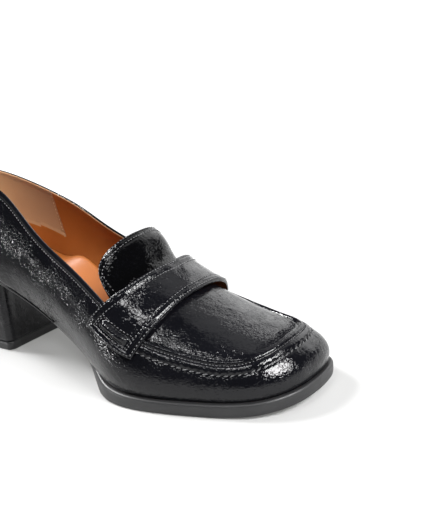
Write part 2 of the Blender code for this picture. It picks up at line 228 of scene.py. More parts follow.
def unevenness(points, size, seed):
    # sum of sine waves in chance directions, about one unit high, wavelengths around size
    chance = np.random.default_rng(seed)
    total = np.zeros(points.shape[:-1])
    for _ in range(16):
        way = chance.normal(size=3)
        way /= np.linalg.norm(way)
        wave = 2 * np.pi / (size * chance.uniform(0.6, 1.7))
        start = chance.uniform(0, 6.28)
        total += np.sin(points @ way * wave + start + 0.7 * np.sin(points[..., 0] * wave * 0.7))
    return total / 4


def gridQuads(rows, columns):
    # corner numbers of the faces between a grid's points
    index = np.arange(rows * columns).reshape(rows, columns)
    return np.stack([index[:-1, :-1], index[1:, :-1], index[1:, 1:], index[:-1, 1:]], -1).reshape(-1, 4)


def finishPiece(name, points, quads, marks, finishes, merge, nodeName=""):
    # a mesh moved to the part's origin: corners nearer than merge become one, and the faces turn outwards
    mesh = bpy.data.meshes.new(name)
    mesh.from_pydata(points - (last["originX"], 0, 0), [], quads.tolist())
    for finish in finishes:
        mesh.materials.append(finish)
    mesh.polygons.foreach_set("material_index", marks.astype(np.int32))
    work = bmesh.new()
    work.from_mesh(mesh)
    bmesh.ops.remove_doubles(work, verts=work.verts, dist=merge)
    bmesh.ops.recalc_face_normals(work, faces=work.faces)
    if work.calc_volume(signed=True) < 0:
        bmesh.ops.reverse_faces(work, faces=work.faces)
    work.to_mesh(mesh)
    openEdges = sum(1 for edge in work.edges if len(edge.link_faces) != 2)
    work.free()
    mesh.shade_smooth()
    piece = bpy.data.objects.new(name, mesh)
    bpy.context.scene.collection.objects.link(piece)
    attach(piece, "root")
    if nodeName:
        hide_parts(nodeName)
    print(name, len(mesh.polygons), "faces", openEdges, "open")


def addPiece(name, grids, finishes, nodeName):
    # a piece of several grids of points, each with the number of its finish
    points = []
    quads = []
    marks = []
    start = 0
    for grid, mark in grids:
        rows, columns = grid.shape[:2]
        quads.append(start + gridQuads(rows, columns))
        marks.append(np.broadcast_to(mark, (rows - 1, columns - 1)).reshape(-1))
        points.append(grid.reshape(-1, 3))
        start += rows * columns
    points, quads, marks = (np.concatenate(part) for part in (points, quads, marks))
    finishPiece(name, points, quads, marks, finishes, 0.00001, nodeName)


class Socket:
    # an output of a node; arithmetic on it adds Math nodes
    def __init__(self, finish, link):
        self.finish = finish
        self.link = link

    def maths(self, operation, first, second=0.0):
        return self.finish.node("ShaderNodeMath", {"operation": operation}, {0: first, 1: second})

    def __add__(self, other):
        return self.maths("ADD", self, other)

    def __radd__(self, other):
        return self.maths("ADD", other, self)

    def __sub__(self, other):
        return self.maths("SUBTRACT", self, other)

    def __rsub__(self, other):
        return self.maths("SUBTRACT", other, self)

    def __mul__(self, other):
        return self.maths("MULTIPLY", self, other)

    def __rmul__(self, other):
        return self.maths("MULTIPLY", other, self)

    def __abs__(self):
        return self.maths("ABSOLUTE", self)


class Finish:
    # a material with one Principled shader
    def __init__(self, name):
        self.material = bpy.data.materials.new(name)
        self.material.use_nodes = True
        self.tree = self.material.node_tree
        self.shader = self.tree.nodes["Principled BSDF"]

    def feed(self, target, value):
        # a link or a value into a socket
        if isinstance(value, Socket):
            self.tree.links.new(value.link, target)
        else:
            target.default_value = value

    def node(self, kind, settings, sockets, output=0):
        # a node: its settings first, then its sockets
        made = self.tree.nodes.new(kind)
        for key, value in settings.items():
            setattr(made, key, value)
        for key, value in sockets.items():
            self.feed(made.inputs[key], value)
        return Socket(self, made.outputs[output])

    def place(self):
        return self.node("ShaderNodeTexCoord", {}, {}, "Object")

    def noise(self, place, scale, detail, roughness, distortion=0.0):
        return self.node("ShaderNodeTexNoise", {}, {
            "Vector": place,
            "Scale": scale,
            "Detail": detail,
            "Roughness": roughness,
            "Distortion": distortion,
        })

    def remap(self, value, low, high, newLow, newHigh):
        return self.node("ShaderNodeMapRange", {}, {
            "Value": value, "From Min": low, "From Max": high, "To Min": newLow, "To Max": newHigh,
        })

    def mix(self, factor, first, second):
        # between two colours, each a socket or three numbers
        first, second = (value if isinstance(value, Socket) else (*value, 1) for value in (first, second))
        return self.node("ShaderNodeMix", {"data_type": "RGBA"}, {0: factor, 6: first, 7: second}, 2)

    def relief(self, height, distance):
        # height between 0 and 1, distance in metres
        normal = self.node("ShaderNodeBump", {}, {"Strength": 1.0, "Distance": distance, "Height": height})
        self.feed(self.shader.inputs["Normal"], normal)

    def set(self, values):
        # the shader's own sockets by their names
        for key, value in values.items():
            self.feed(self.shader.inputs[key], value)


noiseSpan = (0.3, 0.7)     # most of a noise lies between these values

# Crinkled patent: each noise has a scale, detail, roughness and distortion, and depths are in metres
patentLook = {
    "colour": (0.0020, 0.0021, 0.0032),
    "colourWorn": (0.0036, 0.0037, 0.0050),
    "roughness": (0.030, 0.070),
    "refraction": 1.40,
    "crinkle": (600.0, 1.0, 0.5, 1.0),
    "crinkleDepth": 0.00019,
    "smoothDepth": 0.00006,
    "ripple": (230.0, 1.0, 0.5, 0.8),
    "rippleShare": 0.8,
    "patches": (75.0, 2.0, 0.5, 0.3),
    "patchStrength": (0.40, 0.60, 0.40, 1.0),
}


def patentFinish(name, depth):
    # creases where the noise passes its middle, stronger in patches, on a wider ripple
    finish = Finish(name)
    place = finish.place()
    crinkle = finish.noise(place, *patentLook["crinkle"])
    ripple = finish.noise(place, *patentLook["ripple"])
    patches = finish.noise(place, *patentLook["patches"])
    fold = abs(crinkle * 2 - 1)
    strength = finish.remap(patches, *patentLook["patchStrength"])
    finish.relief(fold * strength + ripple * patentLook["rippleShare"], depth)
    finish.set({
        "Base Color": finish.mix(patches, patentLook["colour"], patentLook["colourWorn"]),
        "Roughness": finish.remap(crinkle, *noiseSpan, *patentLook["roughness"]),
        "IOR": patentLook["refraction"],
    })
    return finish.material


patent = patentFinish("crinkled patent", patentLook["crinkleDepth"])
smoothPatent = patentFinish("smooth patent", patentLook["smoothDepth"])

# Tan lining leather, and suede at the heel: two colours, roughness, scale of the grain, its depth, sheen
liningLook = {
    # painted shade: the same tan leather as the sock, set darker because the lining lies in shade
    "lining": ((0.34, 0.106, 0.023), (0.26, 0.074, 0.015), 0.42, 1500.0, 0.00005, 0.0),
    # painted shade: the suede's colour is darkened because the heel grip lies in shade on the inner wall
    "suede": ((0.40, 0.225, 0.108), (0.32, 0.165, 0.073), 0.85, 2200.0, 0.00010, 0.3),
    "sock": ((0.36, 0.118, 0.027), (0.31, 0.096, 0.020), 0.45, 1300.0, 0.00006, 0.0),
    "edge": ((0.68, 0.41, 0.25), (0.40, 0.225, 0.108), 0.50, 1500.0, 0.00004, 0.0),
    "specular": 0.25,
    "roughnessSpread": 0.06,
    "cloud": (45.0, 3.0, 0.55),
    "pores": (3.0, 0.6),
}


def liningFinish(name, kind):
    # two colours in slow clouds, and pores that also change the gloss
    first, second, roughness, grain, depth, sheen = liningLook[kind]
    spread = liningLook["roughnessSpread"]
    finish = Finish(name)
    place = finish.place()
    cloud = finish.noise(place, *liningLook["cloud"])
    pores = finish.noise(place, grain, *liningLook["pores"])
    finish.relief(pores, depth)
    finish.set({
        "Base Color": finish.mix(cloud, first, second),
        "Roughness": finish.remap(pores, *noiseSpan, roughness - spread, roughness + spread),
        "Sheen Weight": sheen,
        "Specular IOR Level": liningLook["specular"],
    })
    return finish.material


lining = liningFinish("tan lining with painted shade", "lining")
suede = liningFinish("beige suede with painted shade", "suede")
sock = liningFinish("tan sock leather", "sock")
liningEdge = liningFinish("lining edge", "edge")

# Sole rubber: one colour, or two that are mixed in clouds
rubberLook = {
    "sole": [(0.020, 0.020, 0.021), (0.014, 0.014, 0.015)],
    "topPiece": [(0.010, 0.010, 0.011)],
    "soleRoughness": 0.46,
    "topRoughness": 0.42,
    "roughnessSpread": 0.05,
    "cloud": (70.0, 3.0, 0.6),
    "grit": (1800.0, 2.0, 0.6),
    "gritDepth": 0.00004,
}


def rubberFinish(name, colours, roughness):
    # fine grit, and gloss that changes in slow clouds
    spread = rubberLook["roughnessSpread"]
    finish = Finish(name)
    place = finish.place()
    cloud = finish.noise(place, *rubberLook["cloud"])
    finish.relief(finish.noise(place, *rubberLook["grit"]), rubberLook["gritDepth"])
    finish.set({
        "Base Color": finish.mix(cloud, *colours) if len(colours) == 2 else (*colours[0], 1),
        "Roughness": finish.remap(cloud, *noiseSpan, roughness - spread, roughness + spread),
    })
    return finish.material


soleRubber = rubberFinish("grey rubber", rubberLook["sole"], rubberLook["soleRoughness"])
topRubber = rubberFinish("black rubber", rubberLook["topPiece"], rubberLook["topRoughness"])

# Thread: shade is the darkest share of its colour
threadLook = {
    # painted sheen: black thread made dark grey, its lightness standing in for the stitches' glints
    "black": (0.105, 0.105, 0.108),
    "tan": (0.62, 0.36, 0.17),
    "shade": 0.5,
    "roughness": 0.32,
    "twist": (2600.0, 1.0, 0.5),
    "twistDepth": 0.00005,
}


def threadFinish(name, colour):
    # the twist darkens and dents the thread
    finish = Finish(name)
    twist = finish.noise(finish.place(), *threadLook["twist"])
    finish.relief(twist, threadLook["twistDepth"])
    finish.set({
        "Base Color": finish.mix(twist, colour, tuple(threadLook["shade"] * part for part in colour)),
        "Roughness": threadLook["roughness"],
    })
    return finish.material


blackThread = threadFinish("black thread with painted sheen", threadLook["black"])
tanThread = threadFinish("tan thread", threadLook["tan"])
print("finishes made")

# The upper: ridge, throat and the suede grip's front edge are shares of length
upperLook = {
    "stations": 560,
    "rows": (17, 29, 9, 34),   # lower outside, strip under the edge, round edge, lining
    "wall": 0.0018,
    "beadEdge": 0.0009,
    "ridgeStart": 0.600,
    "ridgeFull": 0.690,
    "throat": 0.690,
    "stripWidth": 0.0105,
    "waviness": 0.00007,
    "wavinessSize": 0.016,
    "calm": (0.0015, 0.002),   # distances from the lower and the upper edge where the unevenness is full
    "bandTurn": 1.9,           # how far over the round edge the smooth band goes, in radians
    "bareRows": 5,             # rows of the round edge before the lining's cut edge
    "outerSeam": 0.0080,
    "innerSeam": 0.0031,
    "innerSeamDepth": 0.00025,
    "collarSeam": 0.0034,
    "seamPitch": 0.0034,
    "seamPull": (0.00034, 0.0073, 0.0008),     # depth, distance below the crease, half width
    "gripFront": 0.205,
    "gripLean": 0.055,
    "gripFoot": 0.014,
    "gripThickness": 0.0004,
    "gripRow": 0.006,
    "plugPower": 2.6,
    "plugDip": 0.00035,
    "plugWaviness": 0.000077,
}
# distance below the edge, height and half width in mm: the bead, the dip under it and the seam
collarProfile = [(1.15, 0.55, 0.85), (2.5, -0.12, 0.5), (upperLook["collarSeam"] * 1000, -0.20, 0.45)]
# distance below the crease in mm, height in mm
apronProfile = np.array([
    (0.0, -0.30), (0.35, 0.45), (1.1, 1.20), (1.9, 1.22), (2.7, 0.80), (3.1, 0.62), (3.6, 0.82), (4.8, 1.02),
    (6.2, 0.86), (7.3, 0.48), (8.0, 0.06), (8.5, -0.04), (9.4, 0.02), (10.5, 0.0),
])
# creases, in metres: place (x and height on the quarters, x and y on the plug), turn in degrees,
# half length, half width, height of the ridge or depth of the trough
creaseLook = {
    "outer": [
        (0.088, 0.0605, -20, 0.012, 0.0016, -0.00024), (0.097, 0.0560, -24, 0.011, 0.0018, 0.00022),
        (0.077, 0.0605, -18, 0.010, 0.0016, 0.00020), (0.110, 0.0510, -28, 0.012, 0.0017, -0.00020),
        (0.178, 0.0300, -12, 0.010, 0.0018, -0.00018), (0.192, 0.0260, -8, 0.010, 0.0018, 0.00015),
    ],
    "inner": [
        (0.095, 0.0540, -22, 0.012, 0.0018, -0.00020), (0.112, 0.0460, -25, 0.012, 0.0018, 0.00018),
        (0.172, 0.0310, -15, 0.011, 0.0018, -0.00018),
    ],
    "plug": [
        (0.188, -0.0050, 25, 0.012, 0.0015, -0.00012), (0.207, -0.0055, 30, 0.012, 0.0015, 0.00012),
        (0.216, -0.0023, 20, 0.010, 0.0014, -0.00010), (0.192, 0.0042, 35, 0.010, 0.0015, 0.00010),
        (0.196, -0.0245, -10, 0.009, 0.0016, -0.00012),
    ],
}


def creases(first, second, rows):
    # each crease: a bell curve along its length times a bell curve across it
    total = np.zeros_like(first)
    for middleFirst, middleSecond, turn, long, wide, high in rows:
        angle = math.radians(turn)
        along = (first - middleFirst) * math.cos(angle) + (second - middleSecond) * math.sin(angle)
        across = (second - middleSecond) * math.cos(angle) - (first - middleFirst) * math.sin(angle)
        total += high * np.exp(-(along / long) ** 2 - (across / wide) ** 2)
    return total


def bandLift(down, blend, run):
    # outer face above the last: collar bead and seam behind the strap, apron roll and seam in front
    mm = down * 1000
    collar = sum(high * bump(mm, place, half) for place, high, half in collarProfile)
    apron = spline(apronProfile, 1, np.clip(mm, 0, apronProfile[-1, 0]))
    pull = 0.5 + 0.5 * np.cos(2 * np.pi * run / upperLook["seamPitch"])
    depth, place, half = upperLook["seamPull"]
    lift = (collar * (1 - blend) + apron * blend) / 1000
    thread = depth * pull * bump(down, place, half)
    thread = thread + upperLook["innerSeamDepth"] * bump(down, upperLook["innerSeam"], 0.00035)
    return lift - thread * blend


def bandRows(x, side):
    # lengths up each section, to the collar or crease, and the run along that edge
    ways = np.linspace(0, 1, 240)[None, :]
    line = onLast(x[:, None], side, ways)
    arc = np.concatenate([
        np.zeros((len(x), 1)),
        np.cumsum(np.linalg.norm(np.diff(line, axis=1), axis=-1), 1),
    ], 1)
    place = edgePlace(x, side)[:, None]
    edge = rowInterp(place, np.broadcast_to(ways, arc.shape), arc)
    points = onLast(x, side, place[:, 0])
    run = np.concatenate([[0], np.cumsum(np.linalg.norm(np.diff(points, axis=0), axis=1))])
    return ways, arc, edge, (run[-1] - run)[:, None]


def ridgeBlend(x):
    # 0 where the collar is, 1 where the apron's ridge is
    return smooth(upperLook["ridgeStart"], upperLook["ridgeFull"], x / last["length"])[:, None]


def gripEdge(share):
    # front edge of the suede, leaning forward toward its foot
    return upperLook["gripFront"] + upperLook["gripLean"] * (1 - share) ** 2


def makeQuarters():
    # closed shell: up the outside, over the edge, down the lining and back under the lower edge;
    # finish 0 is patent, 1 lining, 2 suede, 3 the smooth band along the collar, 4 the lining's edge
    x = stations(upperLook["stations"])
    lowRows, stripRows, rimRows, liningRows = upperLook["rows"]
    outside = []
    inside = []
    for side, name in ((1.0, "inner"), (-1.0, "outer")):
        ways, arc, edge, run = bandRows(x, side)
        blend = ridgeBlend(x)
        strip = upperLook["stripWidth"]
        wall = upperLook["wall"]
        low = np.linspace(0, 1, lowRows)[None, :-1] * (edge - strip)
        up = np.concatenate([low, edge - np.linspace(strip, 0, stripRows)[None, :]], 1)
        place = rowInterp(up, arc, ways)
        flat = onLast(x[:, None], side, place)
        calm = smooth(0.0, upperLook["calm"][0], up) * smooth(0.0, upperLook["calm"][1], edge - up)
        wave = upperLook["waviness"] * unevenness(flat, upperLook["wavinessSize"], 3)
        wave = wave + creases(flat[..., 0], flat[..., 2], creaseLook[name])
        lift = bandLift(edge - up, blend, run) + wave * calm
        outer = skin(x[:, None], side, place, lift)
        turn = np.linspace(0, np.pi, rimRows)[None, 1:]
        top = lift[:, -1:]
        roundLift = top - (top + wall) * (1 - np.cos(turn)) / 2
        reach = edge + upperLook["beadEdge"] * np.sin(turn) * (1 - blend)
        rim = skin(x[:, None], side, rowInterp(reach, arc, ways), roundLift)
        down = np.linspace(1, 0, liningRows)[None, :] * edge
        grip = (x[:, None] < gripEdge(down / edge) * last["length"]) & (down > upperLook["gripFoot"])
        raised = upperLook["gripThickness"] * grip * smooth(0, 0.003, edge - down)
        inner = skin(x[:, None], side, rowInterp(down, arc, ways), raised - wall)
        tuck = np.stack([inner[:, -1], outer[:, 0]], 1)
        over = np.broadcast_to(turn < upperLook["bandTurn"], rim.shape[:2])
        band = np.concatenate([edge - up < upperLook["collarSeam"], over], 1) & (blend < 0.5)
        marks = 3 * band[:-1, 1:]
        marks[:, outer.shape[1] + upperLook["bareRows"]:] = 4
        outside.append((np.concatenate([outer, rim], 1), marks))
        inside += [(inner, 1 + grip[:-1, :-1]), (tuck, 1)]
    addPiece("quarters", outside + inside, [patent, lining, suede, smoothPatent, liningEdge], "upper")


def plugPoints(x, side, way, lift):
    # from the crease (way 0) to the spine (way 1): straight in plan, a power curve in height that meets
    # the spine with the spine's own slope, so that both sides join smoothly around the toe
    crease = onLast(x, side, edgePlace(x, side))
    spine = onLast(x, side, np.full_like(x, 1.0))
    slope = (spineHeight(spine[..., 0] + 0.0005) - spineHeight(spine[..., 0] - 0.0005)) / 0.001
    tilt = slope * (spine[..., 0] - crease[..., 0])
    rest = 1 - way
    flat = crease[..., :2] * rest[..., None] + spine[..., :2] * way[..., None]
    power = rest ** upperLook["plugPower"]
    height = crease[..., 2] + (spine[..., 2] - crease[..., 2]) * (1 - power) - tilt * (rest - power)
    return np.concatenate([flat, (height + lift)[..., None]], -1)


def makeApron():
    # plug in front of the throat: top face, its edges and its lining
    throat = upperLook["throat"] * last["length"]
    x = stations(upperLook["stations"])
    x = np.concatenate([[throat], x[x >= throat]])
    way = np.concatenate([[0.0, 0.02, 0.045, 0.075, 0.11], np.linspace(0.15, 1, 36)])
    station, along = np.meshgrid(x, way, indexing="ij")
    calm = smooth(0.0, 0.08, along)
    dip = upperLook["plugDip"] * (1 - smooth(0.0, 0.075, along))
    grids = []
    for side in (1.0, -1.0):
        sides = np.full_like(station, side)
        spot = plugPoints(station, sides, along, 0 * station)
        wave = upperLook["plugWaviness"] * unevenness(spot, upperLook["wavinessSize"], 5)
        wave = wave + creases(spot[..., 0], spot[..., 1], creaseLook["plug"])
        top = plugPoints(station, sides, along, wave * calm - dip)
        under = plugPoints(station, sides, along, 0 * station - upperLook["wall"])
        back = np.stack([under[0], top[0]], 0)
        edge = np.stack([under[:, 0], top[:, 0]], 1)
        grids += [(top, 0), (under, 1), (back, 0), (edge, 0)]
    addPiece("apron", grids, [patent, lining], "upper")


makeQuarters()
makeApron()
print("upper made")

# What tongue and strap share: rim's radius, half width of a stitch's groove, waviness against the upper's
sheetLook = {"rim": 0.0009, "groove": 0.00045, "waviness": 1.2}


def sheetPiece(name, spot, thickness, nodeName):
    # a sheet from its outer face and its back, each a function of height above the back, with its four rims
    top = spot(thickness)
    back = spot(np.zeros_like(thickness))
    grids = [(top, 0), (back, 1)]
    for axis, cuts in ((0, (np.s_[0], np.s_[-1])), (1, (np.s_[:, 0], np.s_[:, -1]))):
        grids += [(np.stack([back[cut], top[cut]], axis), 0) for cut in cuts]
    addPiece(name, grids, [patent, lining], nodeName)


def sideDistance(flat):
    # distance to the nearer side edge, row by row
    return np.minimum(
        np.linalg.norm(flat - flat[:, :1], axis=-1),
        np.linalg.norm(flat - flat[:, -1:], axis=-1),
    )


def sheetThickness(flat, gap, look):
    # by distance from the edge: a rim of a quarter circle that starts a third of the way up, grooves under
    # the stitches, a roll beside them, and slight unevenness
    way = np.clip(gap / sheetLook["rim"], 0, 1)
    rim = look["thickness"] * (0.3 + 0.7 * np.sqrt(1 - (1 - way) ** 2))
    grooves = look["grooveDepth"] * sum(bump(gap, place, sheetLook["groove"]) for place in look["stitches"])
    high, place, half = look["roll"]
    wave = upperLook["waviness"] * sheetLook["waviness"] * unevenness(flat, look["wavinessSize"], look["seed"])
    return rim - grooves + high * bump(gap, place, half) + wave * smooth(0, look["calm"], gap)


# The tongue: stitches, roll and calm are distances from its free edge
tongueLook = {
    "thickness": 0.0020,
    "crown": 0.0060,
    "wing": 0.016,
    "corner": 0.020,
    "lift": -0.0023,
    "stitches": (0.0012, 0.0046),
    "grooveDepth": 0.00020,
    "roll": (0.00025, 0.0024, 0.0010),     # height, distance, half width
    "wavinessSize": 0.013,
    "calm": 0.003,
    "seed": 8,
}
# way from the root to the top, share of length, half width around the last, height at the sides, and how much
# more in the middle
tongueTable = np.array([
    (0.00, 0.705, 0.400, 0.00, 0.00), (0.30, 0.660, 0.460, 0.00, 0.10), (0.60, 0.618, 0.525, -0.05, 0.77),
    (0.80, 0.591, 0.520, 0.40, 1.00), (1.00, 0.570, 0.480, 0.70, 0.67),
])


def tongueSpot(way, turn, height):
    # way runs from the root to the top, turn from side to side; height is above the outer face
    end = tongueLook["corner"] * np.abs(turn) ** 10 - tongueLook["wing"] * turn ** 2
    share = spline(tongueTable, 1, way) + end * way ** 3
    lift = tongueLook["crown"] * (spline(tongueTable, 3, way) + spline(tongueTable, 4, way) * (1 - turn ** 2))
    return wrap(share, turn * spline(tongueTable, 2, way), lift + tongueLook["lift"] + height)


def makeTongue():
    # rows from the root to the top, columns closer together at both sides
    turns = np.sin(np.linspace(-1, 1, 140) * np.pi * 0.485)
    way, turn = np.meshgrid(np.linspace(0, 1, 90), turns / turns.max(), indexing="ij")
    flat = tongueSpot(way, turn, 0)
    gap = np.minimum(np.linalg.norm(flat - flat[-1:], axis=-1), sideDistance(flat))

    def spot(height):
        return tongueSpot(way, turn, height - tongueLook["thickness"])

    sheetPiece("freeTongue", spot, sheetThickness(flat, gap, tongueLook), "tongue")


makeTongue()

# The saddle strap: window and bar as shares of the way from its end and of its width
strapLook = {
    "thickness": 0.0020,
    "lift": 0.0028,
    "gap": 0.0004,
    "rise": 0.45,
    "endBack": 0.221,
    "endFront": 0.250,
    "halfLength": 0.085,
    "stitches": (0.0011, 0.0046),
    "grooveDepth": 0.00018,
    "roll": (0.00030, 0.0026, 0.0011),
    "wavinessSize": 0.012,
    "calm": 0.002,
    "seed": 11,
    "window": (0.078, 0.172, 0.20, 0.80),      # from, to, back, front
    "windowEdge": (0.012, 0.02),
    "windowDepth": 0.00055,
    "bar": 0.0023,
    "barHalf": (0.031, 0.265),
    "ribs": (0.05, 95),                        # share of the bar's height, turns across the width
    "endRow": 0.022,
    "windowRow": (-0.012, 0.014, -0.02, 0.02),
}
# way from the end to the spine, back and front edge as shares of length
strapTable = np.array([(0.00, 0.568, 0.690), (0.35, 0.614, 0.716), (0.70, 0.640, 0.732), (1.00, 0.650, 0.738)])


def strapSpot(along, width, height):
    # along runs from end to end, width from the back to the front edge; height is above the back face
    fromEnd = 1 - np.abs(along)
    share = spline(strapTable, 1, fromEnd) * (1 - width) + spline(strapTable, 2, fromEnd) * width
    end = strapLook["endBack"] * (1 - width) + strapLook["endFront"] * width
    across = np.sign(along) * (1 - end) * np.abs(along)
    lift = strapLook["gap"] + strapLook["lift"] * smooth(0, strapLook["rise"], fromEnd)
    return wrap(share, across, lift + height)


def plateau(x, low, high, edge):
    # 1 between low and high, 0 outside, with soft edges
    return smooth(low - edge, low + edge, x) * (1 - smooth(high - edge, high + edge, x))


def makeStrap():
    # a sheet with a sunk window near each end, and a ribbed, padded bar in it
    along, width = np.meshgrid(np.linspace(-1, 1, 420), np.linspace(0, 1, 84), indexing="ij")
    flat = strapSpot(along, width, 0)
    fromEnd = 1 - np.abs(along)
    gap = np.minimum(sideDistance(flat), fromEnd * strapLook["halfLength"])
    low, high, back, front = strapLook["window"]
    edgeAlong, edgeAcross = strapLook["windowEdge"]
    window = plateau(fromEnd, low, high, edgeAlong) * plateau(width, back, front, edgeAcross)
    barAlong = (fromEnd - (low + high) / 2) / strapLook["barHalf"][0]
    barAcross = (width - (back + front) / 2) / strapLook["barHalf"][1]
    share, turns = strapLook["ribs"]
    bar = np.exp(-np.abs(barAlong) ** 3 - np.abs(barAcross) ** 8) * (1 + share * np.sin(width * turns))
    thickness = sheetThickness(flat, gap, strapLook)
    thickness = thickness - strapLook["windowDepth"] * window + strapLook["bar"] * bar

    def spot(height):
        return strapSpot(along, width, height)

    sheetPiece("saddleStrap", spot, thickness, "saddle_strap")


makeStrap()
print("tongue and strap made")

# The sole: ledge and breast as shares of length
soleLook = {
    "waist": 0.0028,
    "ledge": 0.0026,
    "seatInset": 0.0016,
    "ledgeStart": 0.50,
    "ledgeFull": 0.62,
    "breastLength": 0.06,
    "gap": 0.0003,
}
# rows up the sole's wall: how far in from the full reach, height as a share of the wall
soleProfile = [
    (0.0016, 0.0), (0.0009, 0.02), (0.0004, 0.07), (0.0002, 0.14), (0.00025, 0.165), (0.0001, 0.20),
    (0.0, 0.4), (0.0, 0.62), (0.0, 0.78), (0.0001, 0.86), (0.0004, 0.94), (0.0009, 0.985), (0.0015, 1.0),
]


def planRing(grow, height, count=360):
    # both halves of the plan, grown outward and set at a height; grow and height depend on x
    rings = []
    for side in (1, -1):
        x, y = halves[side]
        normal = np.stack([-np.gradient(y), np.gradient(x)], 1) * side
        normal /= np.linalg.norm(normal, axis=1, keepdims=True) + 1e-12
        normal[0] = (-1, 0)
        normal[-1] = (1, 0)
        spots = np.linspace(0, len(x) - 1, count).round().astype(int)
        flat = (np.stack([x, y], 1) + normal * np.broadcast_to(grow(x), x.shape)[:, None])[spots]
        rings.append(np.column_stack([flat, height(flat[:, 0])]))
    return rings


def fillRing(ring, height, across):
    # face inside a ring: points mixed from one half to the other, set at a height from x and y
    mix = np.linspace(0, 1, across + 1)[None, :, None]
    grid = ring[0][:, None] * (1 - mix) + ring[1][:, None] * mix
    grid[:, 1:-1, 2] = height(grid[:, 1:-1, 0], grid[:, 1:-1, 1])
    return grid


def ringWalls(rings):
    # walls through a stack of rings, one for each half
    return [(np.stack([ring[half] for ring in rings], 0), 0) for half in (0, 1)]


def soleTop(x):
    # the last's lower edge, less the gap between pieces
    return feather(x) - soleLook["gap"]


def soleBottom(x):
    # flat under the forefoot, thin in the waist, lifted with the toe
    share = x / last["length"]
    start = last["flatStart"]
    block = soleTop(start * last["length"]) - soleLook["waist"]
    waist = soleTop(x) - soleLook["waist"] - block * smooth(start - soleLook["breastLength"], start, share)
    toe = (feather(x) - last["soleWall"]) * (share > last["flatEnd"])
    return np.maximum(np.where(share < start, waist, toe), 0)


def soleReach(x):
    # inside the upper's edge at the seat and waist, standing out as a ledge around the forefoot
    blend = smooth(soleLook["ledgeStart"], soleLook["ledgeFull"], x / last["length"])
    return soleLook["ledge"] * blend - soleLook["seatInset"] * (1 - blend)


def makeOutsole():
    # one ring of the plan for each row of the wall's profile, filled below and above
    rings = [
        planRing(
            lambda x, cut=cut: soleReach(x) - cut,
            lambda x, share=share: soleBottom(x) * (1 - share) + soleTop(x) * share,
        )
        for cut, share in soleProfile
    ]
    grids = ringWalls(rings)
    grids.append((fillRing(rings[0], lambda x, y: soleBottom(x), 30), 0))
    grids.append((fillRing(rings[-1], lambda x, y: soleTop(x), 16), 0))
    addPiece("solePlate", grids, [soleRubber], "outsole")


# The insole; a pad has its height, then place, half size and power along (shares of length) and across (metres)
insoleLook = {
    "thickness": 0.0016,
    "clearance": 0.0003,
    "edge": 0.0004,
    "pads": [
        (0.0120, 0.385, 0.125, 4, 0.022, 0.011, 2),    # climbs the inner arch
        (0.0016, 0.13, 0.10, 4, 0.0, 0.016, 4),        # seat
        (0.0010, 0.60, 0.05, 2, -0.002, 0.02, 2),      # behind the ball
    ],
}


def insoleHeight(x, y):
    # sock on the sole, plus for each pad a bell along times a bell across
    share = x / last["length"]
    total = feather(x) + insoleLook["thickness"]
    for high, placeX, halfX, powerX, placeY, halfY, powerY in insoleLook["pads"]:
        total = total + high * np.exp(-((share - placeX) / halfX) ** powerX - ((y - placeY) / halfY) ** powerY)
    return total


def makeInsole():
    # three rings: lower edge, start of the round and upper edge, which follow the pads
    inset = -upperLook["wall"] - insoleLook["clearance"]
    rings = []
    for cut, share in ((0, 0), (0, 0.6), (insoleLook["edge"], 1.0)):
        ring = planRing(lambda x: inset - cut + 0 * x, feather, 240)
        for line in ring:
            line[:, 2] += share * (insoleHeight(line[:, 0], line[:, 1]) - line[:, 2])
        rings.append(ring)
    grids = ringWalls(rings)
    grids += [(fillRing(rings[0], lambda x, y: feather(x), 4), 0), (fillRing(rings[-1], insoleHeight, 40), 0)]
    addPiece("sockLining", grids, [sock], "insole")


# The heel and its top piece
heelLook = {
    "breast": 0.050,
    "back": 0.004,
    "corner": 0.0040,
    "seatInset": 0.0022,
    "taper": 0.0003,
    "edge": 0.0005,
    "round": (1.05, 0.6, 0.86),    # depth of the round back against half width and length, power of its width
    "recess": (0.0004, 0.07, 0.02),    # depth of the breast's panel, its margin and soft edge, shares of width
    "topPiece": 0.0055,
    "topBevel": 0.0010,
}


def heelRing(half, back, breast, height, count=40):
    # a D: round at the back, straight at the breast, small round corners
    turn = np.linspace(0, np.pi / 2, count)
    wide, long, power = heelLook["round"]
    depth = min(half * wide, (breast - back) * long)
    flank = breast - heelLook["corner"]
    sideX = np.linspace(back + depth, flank, 14)[1:-1]
    corner = turn[::3]
    x = np.concatenate([back + depth * (1 - np.cos(turn)), sideX, flank + heelLook["corner"] * np.sin(corner)])
    y = np.concatenate([
        half * np.sin(turn) ** power,
        np.full(len(sideX), half),
        half - heelLook["corner"] * (1 - np.cos(corner)),
    ])
    return [np.column_stack([x, y * side, height(x)]) for side in (1, -1)]


def heelFootHalf():
    # the plan's half width at the breast, less the inset and the taper
    wide = spline(planTable, 2, heelLook["breast"] / last["length"]) * last["ballHalf"]
    return wide - heelLook["seatInset"] - heelLook["taper"]


def heelGrids(rings, bottom, top):
    # walls of both halves, the breast between their ends, sunk a little inside its rim, and both fillings
    first = fillRing(rings[0], bottom, 24)
    final = fillRing(rings[-1], top, 24)
    ways = np.linspace(0, 1, 25)[:, None]
    breast = np.stack([ring[0][-1] * (1 - ways) + ring[1][-1] * ways for ring in rings], 0)
    breast[0] = first[-1]
    breast[-1] = final[-1]
    deep, margin, edge = heelLook["recess"]
    breast[1:-1, :, 0] -= deep * plateau(ways[:, 0], margin, 1 - margin, edge)
    return ringWalls(rings) + [(breast, 0), (first, 0), (final, 0)]


